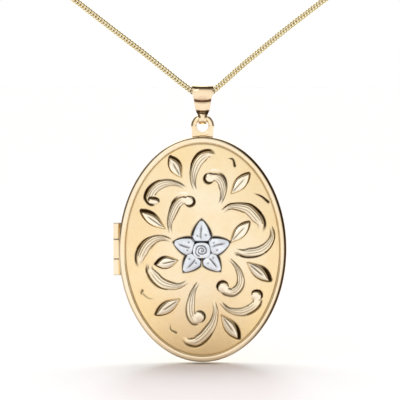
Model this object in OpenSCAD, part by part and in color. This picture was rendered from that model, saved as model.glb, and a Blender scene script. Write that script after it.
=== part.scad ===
// Oval gold picture locket with a raised border, an applied flower, a hinged cover,
// a tapered bail and a fine curb chain. Millimetres, +Z up, the cover faces -Y.
// The origin is the lowest point of the chain, inside the bail.

/* [Case] */
// Width of the oval case
case_w = 26; // [24:0.5:30]
// Height of the oval case
case_h = 35; // [32:0.5:40]
// Depth of each half, from the parting plane to the face of its border
half_depth = 1.8; // [1.7:0.05:2.2]
// Rise of each plate from its edge to its middle
dome_rise = 1.2; // [0.8:0.1:1.6]
// Thickness of the gold sheet of the plates
sheet = 0.35; // [0.3:0.05:0.45]

/* [Border] */
// Width of the raised border on the face
border_w = 0.95; // [0.8:0.05:1.1]
// Thickness of the border behind its face
border_t = 0.5; // [0.4:0.05:0.6]
// Thickness of the side wall
wall = 0.55; // [0.45:0.05:0.6]
// Step from the border's face down to the plate's edge
border_step = 0.25; // [0.15:0.05:0.35]

/* [Inside] */
// Width of each picture frame's flat face
frame_w = 1.3; // [1:0.1:2]
// Height of the snap rim above the parting plane
snap_h = 0.4; // [0.2:0.05:0.45]

/* [Hinge] */
// Length of the whole hinge
hinge_l = 8.1; // [7:0.1:9]
// Length of the middle knuckle
middle_l = 3; // [2.5:0.1:3.5]
// Radius of a knuckle
knuckle_r = 0.6; // [0.55:0.01:0.65]
// Radius of the hinge pin
pin_r = 0.25; // [0.22:0.01:0.28]
// Distance from the case's edge out to the hinge pin
hinge_out = 0.25; // [0.2:0.05:0.3]

/* [Hang ring] */
// Radius of the ring, to the middle of its wire
ring_r = 1.35; // [1.3:0.01:1.45]
// Radius of the ring's wire
ring_wire = 0.45; // [0.4:0.01:0.47]
// Height of the ring's centre above the top of the case
ring_rise = 1.6; // [1.5:0.05:1.8]

/* [Bail] */
// Distance from the chain tunnel's axis down to the eye's axis
bail_l = 3.8; // [3.6:0.1:4.2]
// Radius of the tunnel that the chain runs through
tunnel_r = 0.97; // [0.95:0.01:1.05]
// Radius of the eye that the hang ring swings in
eye_r = 0.77; // [0.75:0.01:0.8]
// Thickness of the bail's strap
strap = 0.36; // [0.3:0.01:0.4]

/* [Flower] */
// Length of a petal, from the flower's centre to its tip
petal_l = 4.65; // [4:0.05:5]
// Half of a petal's greatest width
petal_half = 1.5; // [1.3:0.05:1.6]
// Thickness of the applied petals
petal_t = 0.28; // [0.2:0.02:0.4]
// Radius of the round centre
boss_r = 1.42; // [1.2:0.02:1.6]
// Height of the round centre above the petals
boss_t = 0.4; // [0.3:0.05:0.6]

/* [Chain and clasp] */
// Width of the chain
chain_d = 0.9; // [0.8:0.02:0.9]
// Radius of a jump ring, to the middle of its wire
jump_r = 1; // [0.95:0.01:1.05]
// Radius of the jump rings' wire
jump_wire = 0.2; // [0.18:0.01:0.2]
// Radius of the bolt ring clasp, to the middle of its tube
clasp_r = 2.2; // [2.1:0.05:2.4]
// Outer radius of the clasp's tube
clasp_tube = 0.55; // [0.52:0.01:0.56]
// Thickness of the end tag
tag_t = 0.4; // [0.3:0.05:0.5]
// Radius of the end tag's large hole
tag_hole = 0.8; // [0.7:0.05:0.85]

/* [Hidden] */
$fn = 64;

gold = [0.94, 0.76, 0.44];
pale_gold = [0.85, 0.79, 0.52];
white_gold = [0.87, 0.88, 0.9];
card = [0.93, 0.9, 0.83];
clear = [0.85, 0.92, 0.95, 0.35];

// Heights on the hanging line, from the chain down to the case
tunnel_z = 0.45;
eye_z = tunnel_z - bail_l;
ring_z = eye_z - ring_r;
case_top = ring_z - ring_rise;
case_z = case_top - case_h / 2;

// The oval is drawn with this many straight sides
oval_sides = 96;
// Half of the gap between the two closed halves
parting = 0.02;
// Reach of a cut past the metal that it goes through
past = 1;

// Insets from the case's edge: plate, snap rim, picture frame, picture
plate_in = border_w + 0.05;
pan_in = 1.5;
snap_out = wall + 0.05;
snap_in = snap_out + 0.25;
frame_out = snap_in + 0.05;
photo_out = frame_out + 0.25;

// Depths behind the parting plane
border_back = half_depth - border_t;
flange_d = border_back - sheet;
photo_t = 0.1;
window_t = 0.15;
photo_d = flange_d - photo_t;
window_d = photo_d - window_t;
frame_d = window_d - 0.18;
plate_edge_d = half_depth - border_step;
apex_d = plate_edge_d + dome_rise;

// The dome is part of a ring-shaped surface, curved more across than along
half_across = case_w / 2 - plate_in;
half_along = case_h / 2 - plate_in;
curve_across = (half_across ^ 2 + dome_rise ^ 2) / (2 * dome_rise);
curve_along = (half_along ^ 2 + dome_rise ^ 2) / (2 * dome_rise);

hinge_x = -case_w / 2 - hinge_out;
relief_r = knuckle_r + 0.06;
knuckle_gap = 0.06;
pin_clearance = 0.04;
flower_x = -0.15;

// The chain's two runs, from inside the bail up to the ends, as X and Z
left_run = [
    [0, 0], [-0.3, 0], [-0.8, 0.15], [-1.3, 0.4], [-1.8, 0.8], [-3.4, 2], [-5, 3.3],
    [-7, 4.9], [-9.5, 6.9], [-12, 8.8], [-14.5, 10.7], [-17, 12.65], [-19, 14.2],
    [-21, 15.7], [-22.5, 16.85], [-24, 18],
];
right_run = [
    [0, 0], [0.3, 0], [0.8, 0.15], [1.3, 0.4], [1.8, 0.8], [3.3, 2.1], [4.9, 3.55],
    [6.8, 5.2], [9.2, 7.2], [11.6, 9.2], [14, 11.1], [16.4, 12.95], [18.5, 14.55],
    [20.5, 16.05], [22.1, 17.25], [23.7, 18.45],
];
cord_sides = 8;

// Angles round the clasp, from the end away from the chain
gap_start = 60;
gap_end = 120;
bolt_travel = 62;
bolt_tip = gap_end + 4;
bolt_tail = 30;
lever_at = 50;
bore_start = -60;
bolt_r = 0.28;
bolt_bore = bolt_r + 0.05;
loop_r = 0.75;

// ---------- helpers ----------

function oval(inset) = [
    for (i = [0:oval_sides - 1])
        let (a = 360 * i / oval_sides)
            [(case_w / 2 - inset) * cos(a), (case_h / 2 - inset) * sin(a)]
];

function petal_width(t) = petal_half * sin(180 * t ^ 0.8) ^ 0.75;

function last(list) = list[len(list) - 1];

function heading(p, i) =
    let (a = p[max(i - 1, 0)], b = p[min(i + 1, len(p) - 1)]) (b - a) / norm(b - a);

function cord_ring(p, i, r) =
    let (t = heading(p, i)) [
        for (k = [0:cord_sides - 1])
            let (u = 360 * k / cord_sides)
                [p[i][0] - t[1] * r * cos(u), r * sin(u), p[i][1] + t[0] * r * cos(u)]
    ];

// Solid with the given outline in X and Z, from depth d0 to depth d1 in front of Y = 0
module slab(points, d0, d1)
    translate([0, -d0, 0]) rotate([90, 0, 0]) linear_extrude(d1 - d0) polygon(points);

// Flat drawing turned into the XZ plane at a point, with its X axis at an angle
module in_plane(x, z, angle) translate([x, 0, z]) rotate([90, 0, 0]) rotate(angle) children();

// Part of a ring round the local Z axis
module arc_bar(radius, bar, from, to)
    rotate(from) rotate_extrude(angle = to - from) translate([radius, 0]) circle(bar);

module wire_ring(radius, wire) rotate_extrude() translate([radius, 0]) circle(wire);

// Everything behind the dome's surface, raised by a thickness
module dome(raise)
    translate([0, curve_along - apex_d, 0]) rotate([0, 90, 0]) rotate_extrude($fn = 360)
        intersection() {
            translate([curve_along - curve_across, 0]) circle(curve_across + raise, $fn = 360);
            translate([curve_along - 6, -case_w / 2]) square([12, case_w]);
        }

module at_case() translate([0, 0, case_z]) children();

// The back half is the mirror image of the front half
module back_side() mirror([0, 1, 0]) children();

module cord_tube(p, r) {
    rings = len(p);
    n = cord_sides;
    sides = [
        for (i = [0:rings - 2]) for (k = [0:n - 1])
            [i * n + k, i * n + (k + 1) % n, (i + 1) * n + (k + 1) % n, (i + 1) * n + k]
    ];
    start_cap = [for (k = [n - 1:-1:0]) k];
    end_cap = [for (k = [0:n - 1]) (rings - 1) * n + k];
    polyhedron(
        [for (i = [0:rings - 1]) each cord_ring(p, i, r)],
        concat([start_cap], sides, [end_cap])
    );
}

// ---------- the two halves of the case ----------

// Domed plate with a flat flange that sits behind the border
module plate() difference() {
    union() {
        slab(oval(wall), flange_d, border_back);
        intersection() {
            slab(oval(plate_in), flange_d, apex_d + past);
            dome(0);
        }
    }
    intersection() {
        slab(oval(pan_in), flange_d - past, apex_d + past);
        dome(-sheet);
    }
}

// Side wall with the raised border turned in over the plate's edge
module rim() difference() {
    slab(oval(0), parting, half_depth);
    slab(oval(wall), parting - past, border_back);
    slab(oval(border_w), border_back - past, half_depth + past);
    translate([hinge_x, 0, -hinge_l / 2 - knuckle_gap])
        cylinder(r = relief_r, h = hinge_l + 2 * knuckle_gap);
}

// Picture frame: a flat face with a skirt that reaches the plate's flange
module frame() difference() {
    slab(oval(frame_out), frame_d, flange_d);
    slab(oval(photo_out), window_d, flange_d + past);
    slab(oval(frame_out + frame_w), frame_d - past, flange_d + past);
}

module window() slab(oval(photo_out), window_d, photo_d);

module photo() slab(oval(photo_out), photo_d, flange_d);

// Ring that stands up from the back half and grips inside the front half's wall
module snap() difference() {
    slab(oval(snap_out), -flange_d, snap_h);
    slab(oval(snap_in), -flange_d - past, snap_h + past);
}

// ---------- hinge ----------

// Knuckle with a web on the side of its own half: side is -1 for the front half
module knuckle(low, high, side, bore) translate([hinge_x, 0, low]) difference() {
    union() {
        cylinder(r = knuckle_r, h = high - low);
        intersection() {
            cylinder(r = relief_r, h = high - low);
            translate([0.1, side > 0 ? parting : -relief_r - parting, 0])
                cube([relief_r, relief_r, high - low]);
        }
    }
    translate([0, 0, -past]) cylinder(r = bore, h = high - low + 2 * past);
}

module outer_knuckle() knuckle(middle_l / 2 + knuckle_gap, hinge_l / 2, 1, pin_r);

// ---------- hanging parts ----------

// Wire ring with a straight-sided foot that is soldered to the top of the back half
module hang_ring_body() difference() {
    union() {
        in_plane(0, ring_z, 0) wire_ring(ring_r, ring_wire);
        difference() {
            translate([-ring_r - ring_wire + 0.15, -0.4, case_top - 0.3])
                cube([2 * (ring_r + ring_wire - 0.15), 0.8, ring_z - case_top + 0.3]);
            in_plane(0, ring_z, 0)
                cylinder(r = ring_r - ring_wire, h = 2 * past, center = true);
        }
    }
    at_case() slab(oval(0), -2 * past, 2 * past);
    at_case() slab(oval(-0.06), -parting, 2 * past);
}

// Front outline of the bail: full width over the tunnel, tapering down to the eye
bail_half_outline = [
    [1.65, 2], [1.65, 0.9], [1.5, 0], [1.3, -0.9], [1.15, -2.1], [0.72, -3.05], [0.6, -3.5],
    [0.6, -5],
];
bail_outline = concat(
    bail_half_outline,
    [for (i = [len(bail_half_outline) - 1:-1:0])
        [-bail_half_outline[i][0], bail_half_outline[i][1]]]
);

module across(z, r) translate([0, 0, z]) rotate([0, 90, 0]) cylinder(r = r, h = 6, center = true);

module bail_body() intersection() {
    slab(bail_outline, -2, 2);
    difference() {
        union() {
            across(tunnel_z, tunnel_r + strap);
            across(eye_z, eye_r + strap);
            translate([-2, -0.45, eye_z]) cube([4, 0.9, bail_l]);
        }
        across(tunnel_z, tunnel_r);
        across(eye_z, eye_r);
    }
}

// ---------- flower ----------

module petal() {
    steps = 14;
    edge = [for (i = [0:steps]) [i / steps * petal_l, petal_width(i / steps)]];
    far_edge = [for (i = [steps - 1:-1:1]) [edge[i][0], -edge[i][1]]];
    polygon(concat(edge, far_edge));
}

module petals() difference() {
    intersection() {
        for (i = [0:4]) in_plane(flower_x, 0, 90 + 72 * i) linear_extrude(2 * apex_d) petal();
        dome(petal_t);
    }
    dome(0);
}

module boss() translate([flower_x, 0, 0]) rotate([90, 0, 0]) rotate_extrude() polygon([
    [0, apex_d + petal_t], [boss_r, apex_d + petal_t], [boss_r, apex_d + petal_t + 0.15],
    [boss_r - 0.25, apex_d + petal_t + boss_t - 0.1], [0, apex_d + petal_t + boss_t],
]);

// ---------- clasp and end tag ----------

function end_turn(p) = let (t = heading(p, len(p) - 1)) atan2(t[1], t[0]);

left_end = last(left_run);
right_end = last(right_run);

// Distances from a chain's end to its jump ring's centre and on to the clasp's centre
jump_at = jump_r + jump_wire;
loop_at = jump_at + jump_r - 2 * jump_wire - 0.02 + loop_r;
clasp_at = loop_at + loop_r + clasp_r + clasp_tube;
tag_eye_at = jump_at + jump_r + 0.2;

module past_left(distance)
    in_plane(left_end[0], left_end[1], end_turn(left_run)) translate([distance, 0, 0]) children();

module past_right(distance)
    in_plane(right_end[0], right_end[1], end_turn(right_run)) translate([distance, 0, 0]) children();

module clasp_body() {
    past_left(clasp_at) difference() {
        arc_bar(clasp_r, clasp_tube, gap_end, gap_start + 360);
        arc_bar(clasp_r, bolt_bore, bore_start, gap_start + 2);
        arc_bar(clasp_r, bolt_bore, gap_end - 2, bolt_tip + 4);
        rotate(lever_at - bolt_travel - 4) rotate_extrude(angle = bolt_travel + 8)
            translate([clasp_r, -0.17]) square([clasp_tube + past, 0.34]);
    }
    past_left(loop_at) rotate([90, 0, 0]) wire_ring(loop_r, jump_wire);
}

module spring() past_left(clasp_at) difference() {
    arc_bar(clasp_r, bolt_r, bore_start, bolt_tail - bolt_travel - 2);
    arc_bar(clasp_r, bolt_r - 0.1, bore_start - 2, bolt_tail - bolt_travel);
}

module bolt() past_left(clasp_at) {
    arc_bar(clasp_r, bolt_r, bolt_tail, bolt_tip);
    rotate(lever_at) translate([clasp_r, 0, 0]) rotate([0, 90, 0]) cylinder(r = 0.13, h = 0.95);
    rotate(lever_at) translate([clasp_r + 0.95, 0, 0]) sphere(0.22);
}

module tag() past_right(tag_eye_at) translate([0, 0, -tag_t / 2]) difference() {
    union() {
        cylinder(r = 0.85, h = tag_t);
        translate([2.9, 0, 0]) cylinder(r = 1.4, h = tag_t);
        linear_extrude(tag_t) polygon([[0, -0.85], [2.9, -1.4], [2.9, 1.4], [0, 0.85]]);
    }
    translate([0, 0, -past]) cylinder(r = 0.45, h = tag_t + 2 * past);
    translate([2.9, 0, -past]) cylinder(r = tag_hole, h = tag_t + 2 * past);
}

// ---------- named pieces ----------

module front_plate() color(gold) at_case() plate();
module front_rim() color(gold) at_case() rim();
module front_frame() color(gold) at_case() frame();
module front_window() color(clear) at_case() window();
module front_photo() color(card) at_case() photo();
module flower_petals() color(white_gold) at_case() petals();
module flower_centre() color(white_gold) at_case() boss();
module hinge_knuckle_middle() color(gold) at_case()
    knuckle(-middle_l / 2, middle_l / 2, -1, pin_r + pin_clearance);
module back_plate() color(gold) at_case() back_side() plate();
module back_rim() color(gold) at_case() back_side() rim();
module back_frame() color(gold) at_case() back_side() frame();
module back_window() color(clear) at_case() back_side() window();
module back_photo() color(card) at_case() back_side() photo();
module snap_rim() color(gold) at_case() snap();
module hinge_knuckle_top() color(gold) at_case() outer_knuckle();
module hinge_knuckle_bottom() color(gold) at_case() mirror([0, 0, 1]) outer_knuckle();
module hinge_pin() color(gold) at_case()
    translate([hinge_x, 0, -hinge_l / 2]) cylinder(r = pin_r, h = hinge_l);
module hang_ring() color(gold) hang_ring_body();
module bail() color(gold) bail_body();
module chain_left() color(pale_gold) cord_tube(left_run, chain_d / 2);
module chain_right() color(pale_gold) cord_tube(right_run, chain_d / 2);
module clasp_jump_ring() color(pale_gold) past_left(jump_at) wire_ring(jump_r, jump_wire);
module clasp_ring() color(pale_gold) clasp_body();
module clasp_spring() color("silver") spring();
module clasp_bolt() color(pale_gold) bolt();
module tag_jump_ring() color(pale_gold)
    past_right(jump_at) rotate([90, 0, 0]) wire_ring(jump_r, jump_wire);
module end_tag() color(pale_gold) tag();

front_plate();
front_rim();
front_frame();
front_window();
front_photo();
flower_petals();
flower_centre();
hinge_knuckle_middle();
back_plate();
back_rim();
back_frame();
back_window();
back_photo();
snap_rim();
hinge_knuckle_top();
hinge_knuckle_bottom();
hinge_pin();
hang_ring();
bail();
chain_left();
chain_right();
clasp_jump_ring();
clasp_ring();
clasp_spring();
clasp_bolt();
tag_jump_ring();
end_tag();
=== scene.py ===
"""Looks of the oval gold locket: a satin cover with stamped scrolls and leaves, polished
borders, a white gold flower, a folded bail and a fine curb chain. Sizes are in millimetres."""

import logging
import math
from dataclasses import dataclass, field
from enum import Enum
from typing import Callable

import bpy
import numpy as np
from mathutils import Matrix, Vector


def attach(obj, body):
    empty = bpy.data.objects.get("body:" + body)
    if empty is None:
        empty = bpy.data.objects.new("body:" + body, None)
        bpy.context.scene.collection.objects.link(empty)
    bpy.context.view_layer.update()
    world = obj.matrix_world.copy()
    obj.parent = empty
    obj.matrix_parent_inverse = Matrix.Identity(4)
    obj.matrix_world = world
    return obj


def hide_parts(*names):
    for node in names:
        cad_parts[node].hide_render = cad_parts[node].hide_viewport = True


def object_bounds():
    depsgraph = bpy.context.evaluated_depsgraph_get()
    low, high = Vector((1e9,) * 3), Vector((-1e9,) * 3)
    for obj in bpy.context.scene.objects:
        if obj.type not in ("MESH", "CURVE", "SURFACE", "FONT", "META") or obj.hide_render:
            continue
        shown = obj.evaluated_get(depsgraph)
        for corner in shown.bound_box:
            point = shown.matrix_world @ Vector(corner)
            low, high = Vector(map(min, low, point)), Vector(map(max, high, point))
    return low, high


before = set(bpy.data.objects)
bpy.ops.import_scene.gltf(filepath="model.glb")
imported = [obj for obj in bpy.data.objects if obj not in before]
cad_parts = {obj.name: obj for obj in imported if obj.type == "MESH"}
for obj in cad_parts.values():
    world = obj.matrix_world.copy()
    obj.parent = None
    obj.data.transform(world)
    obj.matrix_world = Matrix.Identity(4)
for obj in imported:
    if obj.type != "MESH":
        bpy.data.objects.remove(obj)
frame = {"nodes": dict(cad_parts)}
CAD_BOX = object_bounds()

MM = 0.001
LOG = logging.getLogger("locket")

Array = np.ndarray
Point = tuple[float, float]
Colour = tuple[float, float, float]


# ---------- small sums ----------


def smooth(value: Array | float, low: float = 0.0, high: float = 1.0) -> Array:
    """Soft step from 0 at low to 1 at high.

    Args:
        value: what is measured.
        low: where the step starts.
        high: where the step ends.

    Returns:
        The step, of the same shape as value.
    """
    t = np.clip((np.asarray(value, float) - low) / (high - low), 0.0, 1.0)
    return t * t * (3.0 - 2.0 * t)


def bell(distance: Array, spread: Array | float) -> Array:
    """Round bump of height 1 that dies away over the spread."""
    return np.exp(-((distance / spread) ** 2))


def stroke(distance: Array, half: Array | float) -> Array:
    """Mark of a graver: dark across its width, with clean edges."""
    return np.exp(-((distance / half) ** 4))


def curve_through(points: tuple[Point, ...], count: int) -> Array:
    """Smooth curve through a few points.

    Args:
        points: the points, in order.
        count: how many places along the curve are wanted.

    Returns:
        The places, evenly spaced, one row each.
    """
    p = np.array(points, float)
    p = np.vstack([2 * p[0] - p[1], p, 2 * p[-1] - p[-2]])
    rows = []
    for a, b, c, d in zip(p[:-3], p[1:-2], p[2:-1], p[3:]):
        t = np.linspace(0.0, 1.0, 24, endpoint=False)[:, None]
        rows.append(0.5 * (2 * b + (c - a) * t + (2 * a - 5 * b + 4 * c - d) * t**2
                           + (3 * b - a - 3 * c + d) * t**3))
    line = np.vstack(rows + [p[-2][None]])
    run = np.concatenate([[0.0], np.cumsum(np.linalg.norm(np.diff(line, axis=0), axis=1))])
    at = np.linspace(0.0, run[-1], count)
    return np.stack([np.interp(at, run, line[:, 0]), np.interp(at, run, line[:, 1])], 1)


# ---------- mesh work ----------


def placed(name: str, data: bpy.types.ID) -> bpy.types.Object:
    """Makes an object of the scene.

    Args:
        name: the object's name.
        data: what it shows, such as a mesh or a light.

    Returns:
        The object.
    """
    made = bpy.data.objects.new(name, data)
    bpy.context.scene.collection.objects.link(made)
    return made


def keep_values(mesh: bpy.types.Mesh, title: str, values: Array) -> None:
    """Keeps a value for each point of the mesh, under the name that the materials read."""
    layer = mesh.attributes.new(title, "FLOAT", "POINT")
    layer.data.foreach_set("value", np.asarray(values, np.float32))


def shade_smooth(mesh: bpy.types.Mesh, sharp: float | None = None) -> None:
    """Shades a mesh smooth.

    Args:
        mesh: the mesh.
        sharp: edges that bend by more than this many degrees stay sharp, if given.
    """
    mesh.polygons.foreach_set("use_smooth", [True] * len(mesh.polygons))
    if sharp is not None:
        mesh.set_sharp_from_angle(angle=math.radians(sharp))


class Workshop:
    """Turns lists of points in millimetres into objects of the model in metres."""

    @staticmethod
    def solid(name: str, points: Array, faces: Array | list, sharp: float = 40.0,
              **marks: Array) -> bpy.types.Object:
        """Makes an object from its points and faces.

        Args:
            name: the object's name.
            points: one row of X, Y and Z for each point.
            faces: the point numbers of each face.
            sharp: edges that bend by more than this many degrees stay sharp.
            marks: values for each point, kept under their own names for the materials.

        Returns:
            The new object, smooth shaded.
        """
        mesh = bpy.data.meshes.new(name)
        mesh.from_pydata(np.asarray(points, float) * MM, [], faces)
        mesh.validate()
        for title, values in marks.items():
            keep_values(mesh, title, values)
        shade_smooth(mesh, sharp)
        return placed(name, mesh)

    @staticmethod
    def ring_faces(rows: int, columns: int, close_rows: bool = False) -> Array:
        """Faces of a sheet whose columns join up round a ring.

        Args:
            rows: rings in the sheet.
            columns: points in each ring.
            close_rows: whether the last ring joins the first.

        Returns:
            Four point numbers for each face.
        """
        steps = rows if close_rows else rows - 1
        i = np.repeat(np.arange(steps), columns)
        j = np.tile(np.arange(columns), steps)
        down, across = (i + 1) % rows, (j + 1) % columns
        return np.stack([i * columns + j, i * columns + across,
                         down * columns + across, down * columns + j], 1)

    @staticmethod
    def capped_faces(rows: int, columns: int, flip: bool) -> list[tuple[int, ...]]:
        """Faces of rings that join into a closed shape, with a flat cap at either end.

        Args:
            rows: rings in the shape.
            columns: points in each ring.
            flip: whether the faces look the other way.

        Returns:
            The point numbers of each face.
        """
        faces = [tuple(f) for f in Workshop.ring_faces(rows, columns)]
        faces.append(tuple(range(columns))[::-1])
        faces.append(tuple((rows - 1) * columns + j for j in range(columns)))
        return [f[::-1] for f in faces] if flip else faces

    @staticmethod
    def soften(node: str, name: str, grain: float = 0.045, passes: int = 5,
               bend: Callable[[Array], tuple[Array, Array]] | None = None
               ) -> bpy.types.Object:
        """Cast-looking copy of a CAD node, with its edges rounded as a polisher leaves them.

        Args:
            node: the CAD node that is copied and replaced.
            name: the new object's name.
            grain: size of the cells that the copy is rebuilt from.
            passes: how many times the surface is smoothed.
            bend: changes the copy's points before the smoothing, and says how much painted shade
                each one gets.

        Returns:
            The new object, in place.
        """
        mesh = frame["nodes"][node].data.copy()
        mesh.transform(Matrix.Scale(1 / MM, 4))
        made = placed(name, mesh)
        Workshop.settle(made, "REMESH", mode="VOXEL", voxel_size=grain)
        if bend:
            flat = np.zeros(len(made.data.vertices) * 3)
            made.data.vertices.foreach_get("co", flat)
            moved, cut = bend(flat.reshape(-1, 3))
            made.data.vertices.foreach_set("co", moved.ravel())
            # Painted shade for each point, which the material reads.
            keep_values(made.data, "cut", cut)
        Workshop.settle(made, "SMOOTH", factor=0.5, iterations=passes)
        made.data.transform(Matrix.Scale(MM, 4))
        made.data.materials.clear()
        shade_smooth(made.data)
        made.data.name = name
        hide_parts(node)
        return made

    @staticmethod
    def settle(made: bpy.types.Object, kind: str, **values: object) -> None:
        """Puts a modifier on an object and makes its result the object's own mesh.

        Args:
            made: the object.
            kind: Blender's name for the modifier.
            values: the modifier's settings.
        """
        step = made.modifiers.new(kind.title(), kind)
        for title, value in values.items():
            setattr(step, title, value)
        graph = bpy.context.evaluated_depsgraph_get()
        result = bpy.data.meshes.new_from_object(
            made.evaluated_get(graph), preserve_all_data_layers=True, depsgraph=graph)
        made.modifiers.clear()
        made.data = result


def dress(made: bpy.types.Object, body: str, finish: "Finish", *nodes: str) -> bpy.types.Object:
    """Gives a piece its finish and its body, and hides the CAD nodes that it stands for.

    Args:
        made: the piece.
        body: the CAD body that it moves with.
        finish: its finish.
        nodes: the CAD nodes that it replaces, if any.

    Returns:
        The same piece.
    """
    made.data.materials.clear()
    made.data.materials.append(finish.material())
    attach(made, body)
    if nodes:
        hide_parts(*nodes)
    LOG.info("%s rides on %s with %s", made.name, body, finish.name)
    return made


def dress_node(node: str, finish: "Finish") -> None:
    """Gives a CAD node that stays in view its finish.

    Args:
        node: the CAD node.
        finish: its finish.
    """
    piece = frame["nodes"][node]
    if piece.material_slots:
        piece.material_slots[0].material = finish.material()
    else:
        piece.data.materials.append(finish.material())
    shade_smooth(piece.data, 35.0)
    LOG.info("%s stays as it is with %s", node, finish.name)


# ---------- shader groups and finishes ----------


class Wiring:
    """Short way to lay out the nodes of a material or of a node group."""

    def __init__(self, tree: bpy.types.NodeTree) -> None:
        """Starts on a tree."""
        self.tree = tree

    def add(self, kind: str, settings: dict | None = None, **inputs: object) -> bpy.types.Node:
        """Adds a node.

        Args:
            kind: Blender's name for the node.
            settings: the node's own settings.
            inputs: values or sockets for its inputs, with _ for a space in a socket's name.

        Returns:
            The new node.
        """
        node = self.tree.nodes.new(kind)
        for title, value in (settings or {}).items():
            setattr(node, title, value)
        for title, value in inputs.items():
            self.feed(node.inputs[title.replace("_", " ")], value)
        return node

    def feed(self, socket: bpy.types.NodeSocket, value: object) -> None:
        """Sets a socket to a value, or links another socket to it.

        Args:
            socket: the socket.
            value: a number, a colour or another socket.
        """
        if isinstance(value, bpy.types.NodeSocket):
            self.tree.links.new(value, socket)
        elif isinstance(value, tuple) and len(value) == 3 and socket.type == "RGBA":
            socket.default_value = (*value, 1.0)
        else:
            socket.default_value = value

    def maths(self, operation: str, *values: object) -> bpy.types.NodeSocket:
        """Works out a sum.

        Args:
            operation: Blender's name for the sum.
            values: its one to three numbers or sockets.

        Returns:
            The socket with the result.
        """
        node = self.add("ShaderNodeMath", {"operation": operation})
        for socket, value in zip(node.inputs, values):
            self.feed(socket, value)
        return node.outputs[0]

    def spread(self, value: object, low: float, high: float, to_low: float,
               to_high: float) -> bpy.types.NodeSocket:
        """Moves a value from one range to another.

        Args:
            value: number or socket that is moved.
            low: start of its range.
            high: end of its range.
            to_low: start of the new range.
            to_high: end of the new range.

        Returns:
            The socket with the moved value, held at the ends.
        """
        node = self.add("ShaderNodeMapRange", Value=value, From_Min=low, From_Max=high,
                        To_Min=to_low, To_Max=to_high)
        return node.outputs["Result"]

    def mix(self, amount: object, first: object, second: object) -> bpy.types.NodeSocket:
        """Mixes two colours.

        Args:
            amount: share of the second colour.
            first: first colour.
            second: second colour.

        Returns:
            The socket with the mixed colour.
        """
        node = self.add("ShaderNodeMix", {"data_type": "RGBA"})
        self.feed(node.inputs[0], amount)
        self.feed(node.inputs[6], first)
        self.feed(node.inputs[7], second)
        return node.outputs[2]


class Effect(Enum):
    """Surface effects that several finishes share."""

    GRAIN = "fine_grain"
    TONE = "tone_patches"
    CREVICE = "crevice_shade"


class Effects:
    """Builds each shared effect once, as a node group."""

    @staticmethod
    def group(effect: Effect) -> bpy.types.NodeTree:
        """Finds the node group of an effect, or makes it at its first use.

        Args:
            effect: the effect.

        Returns:
            Its group.
        """
        made = bpy.data.node_groups.get(effect.value)
        if made is None:
            made = bpy.data.node_groups.new(effect.value, "ShaderNodeTree")
            {Effect.GRAIN: Effects.grain, Effect.TONE: Effects.tone,
             Effect.CREVICE: Effects.crevice}[effect](made)
        return made

    @staticmethod
    def sockets(tree: bpy.types.NodeTree, inputs: dict[str, float],
                outputs: tuple[str, ...]) -> tuple[bpy.types.Node, bpy.types.Node]:
        """Names the group's sockets.

        Args:
            tree: the group.
            inputs: each input's name and usual value.
            outputs: each output's name.

        Returns:
            The group's input node and output node.
        """
        for title, value in inputs.items():
            socket = tree.interface.new_socket(title, in_out="INPUT",
                                               socket_type="NodeSocketFloat")
            socket.default_value = value
        for title in outputs:
            tree.interface.new_socket(title, in_out="OUTPUT", socket_type="NodeSocketFloat")
        return tree.nodes.new("NodeGroupInput"), tree.nodes.new("NodeGroupOutput")

    @staticmethod
    def grain(tree: bpy.types.NodeTree) -> None:
        """Fine grain of satin metal or card, over a broader unevenness.

        Args:
            tree: the empty group.
        """
        w = Wiring(tree)
        start, end = Effects.sockets(tree, {"Scale": 9000.0}, ("Height", "Mask"))
        place = w.add("ShaderNodeTexCoord").outputs["Object"]
        fine = w.add("ShaderNodeTexNoise", Vector=place, Scale=start.outputs["Scale"],
                     Detail=3.0, Roughness=0.6)
        broad = w.add("ShaderNodeTexNoise", Vector=place,
                      Scale=w.maths("MULTIPLY", start.outputs["Scale"], 0.12), Detail=2.0)
        w.feed(end.inputs["Height"], w.maths("ADD", fine.outputs[0],
                                             w.maths("MULTIPLY", broad.outputs[0], 0.5)))
        w.feed(end.inputs["Mask"], w.spread(fine.outputs[0], 0.35, 0.65, 0.0, 1.0))

    @staticmethod
    def tone(tree: bpy.types.NodeTree) -> None:
        """Broad soft patches where the colour of the metal drifts.

        Args:
            tree: the empty group.
        """
        w = Wiring(tree)
        start, end = Effects.sockets(tree, {"Scale": 160.0}, ("Mask",))
        noise = w.add("ShaderNodeTexNoise", Vector=w.add("ShaderNodeTexCoord").outputs["Object"],
                      Scale=start.outputs["Scale"], Detail=3.0, Roughness=0.55)
        w.feed(end.inputs["Mask"], w.spread(noise.outputs[0], 0.34, 0.66, 0.0, 1.0))

    @staticmethod
    def crevice(tree: bpy.types.NodeTree) -> None:
        """Painted shade in hollow corners.

        Args:
            tree: the empty group.
        """
        w = Wiring(tree)
        start, end = Effects.sockets(tree, {"Reach": 0.06}, ("Hollow",))
        point = w.add("ShaderNodeNewGeometry").outputs["Pointiness"]
        low = w.maths("DIVIDE", w.maths("SUBTRACT", 0.49, point), start.outputs["Reach"])
        w.feed(end.inputs["Hollow"], w.spread(low, 0.0, 1.0, 0.0, 1.0))


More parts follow.
